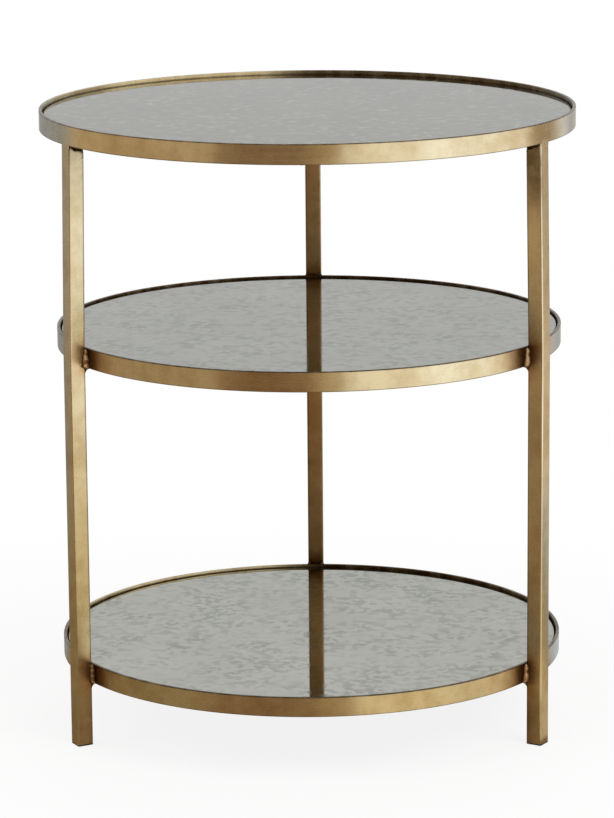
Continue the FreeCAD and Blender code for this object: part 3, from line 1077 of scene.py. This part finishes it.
def makeGlide(name, shape):
    out, along = legAxes(name)
    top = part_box(name + "_glide")[1].z
    middle = (legInner + legOuter) / 2
    plug, flange, bevel = shape["plugHalf"], legLow.z, shape["bevel"]
    side, groove, pitch = legHalf - shape["shy"], plug - shape["rib"], shape["ribPitch"]
    steps = [(legHalf - bevel, 0.0), (legHalf - 0.3 * bevel, 0.3 * bevel), (side, bevel)]
    steps += [(side, flange - shape["edge"]), (legHalf - shape["edge"], flange), (groove, flange)]
    z = flange
    while z + pitch < top - shape["ribStop"]:
        steps += [(groove, z + 0.5 * pitch), (plug, z + 0.6 * pitch)]
        steps += [(plug, z + 0.8 * pitch), (groove, z + pitch)]
        z += pitch
    steps += [(groove, top - shape["tip"]), (plug - shape["tip"], top)]
    bm, _ = newMesh()
    loops = []
    for half, z in steps:
        corners = [(-half, -half), (half, -half), (half, half), (-half, half)]
        loops.append([
            bm.verts.new(out * (middle + point.x) + along * point.y + Vector((0, 0, z)))
            for point, onArc in roundedLoop(corners, [shape["rounding"]] * 4, shape["support"])])
    skinCapped(bm, loops)
    makePiece(name + "Glide", bm, nylon, name + "_glide")


for name in legTurns:
    makeGlide(name, glideShape)
print("glides made")


# stage: floor, cards that the metal reflects, lamps and the white room
whiteRoom = {
    "ambient": 0.55,  # what the room gives to plain surfaces
    "floorSize": 30.0,
    "floorColour": "#F4F4F2",
    "floorDrop": 0.2 * mm,  # keeps the floor clear of the feet
    "shadowShare": 0.13,  # how much of the floor's own shading the camera sees near the table
    "shadowFrom": 0.3,
    "shadowReach": 0.9,
}


def seesWhite(tree):
    # camera, glossy and transmission rays all meet the white background
    path = addNode(tree, "LightPath")
    seen = addNode(tree, "Math", {
        0: path.outputs["Is Camera Ray"], 1: path.outputs["Is Glossy Ray"]}, operation="MAXIMUM")
    return addNode(tree, "Math", {
        0: seen.outputs[0], 1: path.outputs["Is Transmission Ray"]}, operation="MAXIMUM").outputs[0]


world = bpy.data.worlds.new("whiteRoom")
world.use_nodes = True
world.node_tree.nodes.clear()
roomLevel = addNode(world.node_tree, "MapRange", {
    "Value": seesWhite(world.node_tree), "To Min": whiteRoom["ambient"]})
roomLight = addNode(world.node_tree, "Background", {"Color": white, "Strength": roomLevel.outputs[0]})
addNode(world.node_tree, "OutputWorld", {"Surface": roomLight.outputs[0]})
scene.world = world

floorMaterial, floorTree = newMaterial("paleFloor")
floorSpot = addNode(floorTree, "TexCoord").outputs["Object"]
floorReach = addNode(floorTree, "VectorMath", {0: floorSpot}, operation="LENGTH").outputs["Value"]
floorWhite = addNode(floorTree, "MapRange", {
    "Value": floorReach, "From Min": whiteRoom["shadowFrom"], "From Max": whiteRoom["shadowReach"],
    "To Min": 1 - whiteRoom["shadowShare"], "To Max": 1.0}, interpolation_type="SMOOTHSTEP")
floorSeen = addNode(floorTree, "Math", {
    0: floorWhite.outputs[0], 1: seesWhite(floorTree)}, operation="MULTIPLY")
floorPaint = addNode(floorTree, "BsdfDiffuse", {"Color": toLinear(whiteRoom["floorColour"])})
floorGlow = addNode(floorTree, "Emission", {"Color": white, "Strength": 1.0})
floorMix = addNode(floorTree, "MixShader", {
    0: floorSeen.outputs[0], 1: floorPaint.outputs[0], 2: floorGlow.outputs[0]})
addNode(floorTree, "OutputMaterial", {"Surface": floorMix.outputs[0]})
floorMesh = bpy.data.meshes.new("floor")
floorBuild = bmesh.new()
bmesh.ops.create_grid(floorBuild, x_segments=1, y_segments=1, size=whiteRoom["floorSize"] / 2)
floorBuild.to_mesh(floorMesh)
floorBuild.free()
floorMesh.materials.append(floorMaterial)
floor = bpy.data.objects.new("floor", floorMesh)
floor.location.z = -whiteRoom["floorDrop"]
scene.collection.objects.link(floor)

# cards round the table, met only by reflections; degrees from the camera's side, right is plus
cardRing = {
    "reaches": (0.27, 1.15, 2.40, 4.20),  # edges of the near, middle and far floor
    "lift": 2 * mm,
    "lowWall": 0.85,
    "highWall": 1.85,
    "step": 2.0,
}
studioCards = [  # the low wall goes on in the far floor's colour
    {"name": "leftBackCard", "span": (-180, -160), "glow": 1.0,
     "near": "#BDB4A4", "middle": "#D0C8B8", "far": "#D0C8B8", "high": None},
    {"name": "leftCoolCard", "span": (-160, -140), "glow": 1.0,
     "near": "#8E949A", "middle": "#98A0A5", "far": "#9AA2AF", "high": None},
    {"name": "leftCornerCard", "span": (-140, -116), "glow": 1.0,
     "near": "#949CA4", "middle": "#929AA6", "far": "#9AA2AF", "high": None},
    {"name": "leftCard", "span": (-116, -36), "glow": 1.0, "highGlow": 1.0, "paleGlow": 0.65,
     "near": "#938469", "middle": "#A89780", "far": "#C7B396", "high": "#ADA398"},
    {"name": "frontCard", "span": (-36, 4), "glow": 1.0, "highGlow": 1.0, "paleGlow": 0.6,
     "near": "#8C735A", "middle": "#856442", "far": "#7A5C3C", "high": "#B09C88"},
    {"name": "frontRightCard", "span": (4, 16), "glow": 1.0, "highGlow": 1.0, "paleGlow": 0.7,
     "near": "#A8926F", "middle": "#BBA886", "far": "#B5A07C", "high": "#B4AA9C"},
    {"name": "rightCard", "span": (16, 50), "glow": 1.3, "highGlow": 2.3, "paleGlow": 1.25,
     "near": "#CEC3A8", "middle": "#F3F4F6", "far": "#E9ECF2", "high": "#F8F2E4"},
    {"name": "brightCard", "span": (50, 90), "glow": 1.74, "highGlow": 2.3, "paleGlow": 1.25,
     "near": "#AFA591", "middle": "#E6F0FF", "far": "#E2ECFF", "high": "#F8F2E4"},
    {"name": "farRightCard", "span": (90, 106), "glow": 1.25, "highGlow": 2.3, "paleGlow": 1.25,
     "near": "#8B7E6E", "middle": "#EEF0F4", "far": "#F2F2F6", "high": "#F8F2E4"},
    {"name": "rightSideCard", "span": (106, 130), "glow": 1.0,
     "near": "#C1CFDF", "middle": "#DCC8BA", "far": "#AC9C8C", "high": None},
    {"name": "rightCornerCard", "span": (130, 143), "glow": 1.0,
     "near": "#AEB4C2", "middle": "#D0D6E6", "far": "#EAF2FF", "high": None},
    {"name": "rightCoolCard", "span": (143, 160), "glow": 1.0,
     "near": "#B2C4E0", "middle": "#ACB5C4", "far": "#B2BBD0", "high": None},
    {"name": "rightBackCard", "span": (160, 180), "glow": 1.0,
     "near": "#C2B8A8", "middle": "#D6CEBE", "far": "#D6CEBE", "high": None},
]


def cardColour(name, hexColour, glow):
    material, tree = newMaterial(name)
    light = addNode(tree, "Emission", {"Color": toLinear(hexColour), "Strength": glow})
    addNode(tree, "OutputMaterial", {"Surface": light.outputs[0]})
    return material


def highWallColour(name, hexColour, glow, paleGlow):
    # pale to a mirror, coloured where a mirror passes it on to the brass
    material, tree = newMaterial(name)
    bounces = addNode(tree, "LightPath").outputs["Glossy Depth"]
    oneBounce = 1.5  # the mirror's own
    passedOn = addNode(tree, "Math", {0: bounces, 1: oneBounce}, operation="GREATER_THAN")
    pale = addNode(tree, "Emission", {"Color": white, "Strength": paleGlow})
    light = addNode(tree, "Emission", {"Color": toLinear(hexColour), "Strength": glow})
    either = addNode(tree, "MixShader", {0: passedOn.outputs[0], 1: pale.outputs[0], 2: light.outputs[0]})
    addNode(tree, "OutputMaterial", {"Surface": either.outputs[0]})
    return material


def onlyReflected(obj):
    obj.visible_camera = False
    obj.visible_diffuse = False
    obj.visible_transmission = False
    obj.visible_shadow = False


def makeCard(card, ring):
    begin, end = card["span"]
    count = int((end - begin) / ring["step"])
    section = [(reach, ring["lift"]) for reach in ring["reaches"]]
    section += [(ring["reaches"][-1], ring["lowWall"])]
    parts = ["near", "middle", "far"]
    slots = [0, 1, 2, 2]
    if card["high"]:
        section += [(ring["reaches"][-1], ring["highWall"])]
        parts += ["high"]
        slots += [3]
    bm = bmesh.new()
    columns = []
    for k in range(count + 1):
        turn = radians(begin + (end - begin) * k / count)
        columns.append([bm.verts.new((reach * sin(turn), -reach * cos(turn), z)) for reach, z in section])
    for one, two in zip(columns, columns[1:]):
        for k, slot in enumerate(slots):
            face = bm.faces.new((one[k], two[k], two[k + 1], one[k + 1]))
            face.material_index = slot
    mesh = bpy.data.meshes.new(card["name"])
    bm.to_mesh(mesh)
    bm.free()
    for part in parts:
        name = card["name"] + part.capitalize()
        if part == "high":
            mesh.materials.append(highWallColour(name, card[part], card["highGlow"], card["paleGlow"]))
        else:
            mesh.materials.append(cardColour(name, card[part], card["glow"]))
    obj = bpy.data.objects.new(card["name"], mesh)
    scene.collection.objects.link(obj)
    onlyReflected(obj)


for card in studioCards:
    makeCard(card, cardRing)

shadeCard = {"radius": 0.27, "colour": "#957C5E", "lift": 2 * mm}  # painted shade: a glowing card, seen only in reflections, for the dim floor under the table
shadeMesh = bpy.data.meshes.new("shadeCard")
shadeBuild = bmesh.new()
bmesh.ops.create_circle(shadeBuild, cap_ends=True, segments=64, radius=shadeCard["radius"])
shadeBuild.to_mesh(shadeMesh)
shadeBuild.free()
shadeMesh.materials.append(cardColour("shadeCard", shadeCard["colour"], 1.0))
shade = bpy.data.objects.new("shadeCard", shadeMesh)
shade.location.z = shadeCard["lift"]
scene.collection.objects.link(shade)
onlyReflected(shade)

lamps = [
    {"name": "keyLamp", "side": 50, "distance": 2.6, "height": 2.5, "size": 1.8, "power": 48},
    {"name": "fillLamp", "side": -65, "distance": 2.8, "height": 2.2, "size": 1.8, "power": 22},
    {"name": "backLamp", "side": 175, "distance": 2.4, "height": 2.6, "size": 1.8, "power": 18},
]
lampAim = Vector((0, 0, 0.3))
for lamp in lamps:
    light = bpy.data.lights.new(lamp["name"], "AREA")
    light.size = lamp["size"]
    light.energy = lamp["power"]
    obj = bpy.data.objects.new(lamp["name"], light)
    side = radians(lamp["side"])
    obj.location = (lamp["distance"] * sin(side), -lamp["distance"] * cos(side), lamp["height"])
    obj.rotation_euler = (lampAim - obj.location).to_track_quat("-Z", "Y").to_euler()
    obj.visible_camera = False
    obj.visible_glossy = False  # the metal reflects the cards instead
    scene.collection.objects.link(obj)
print("stage set")
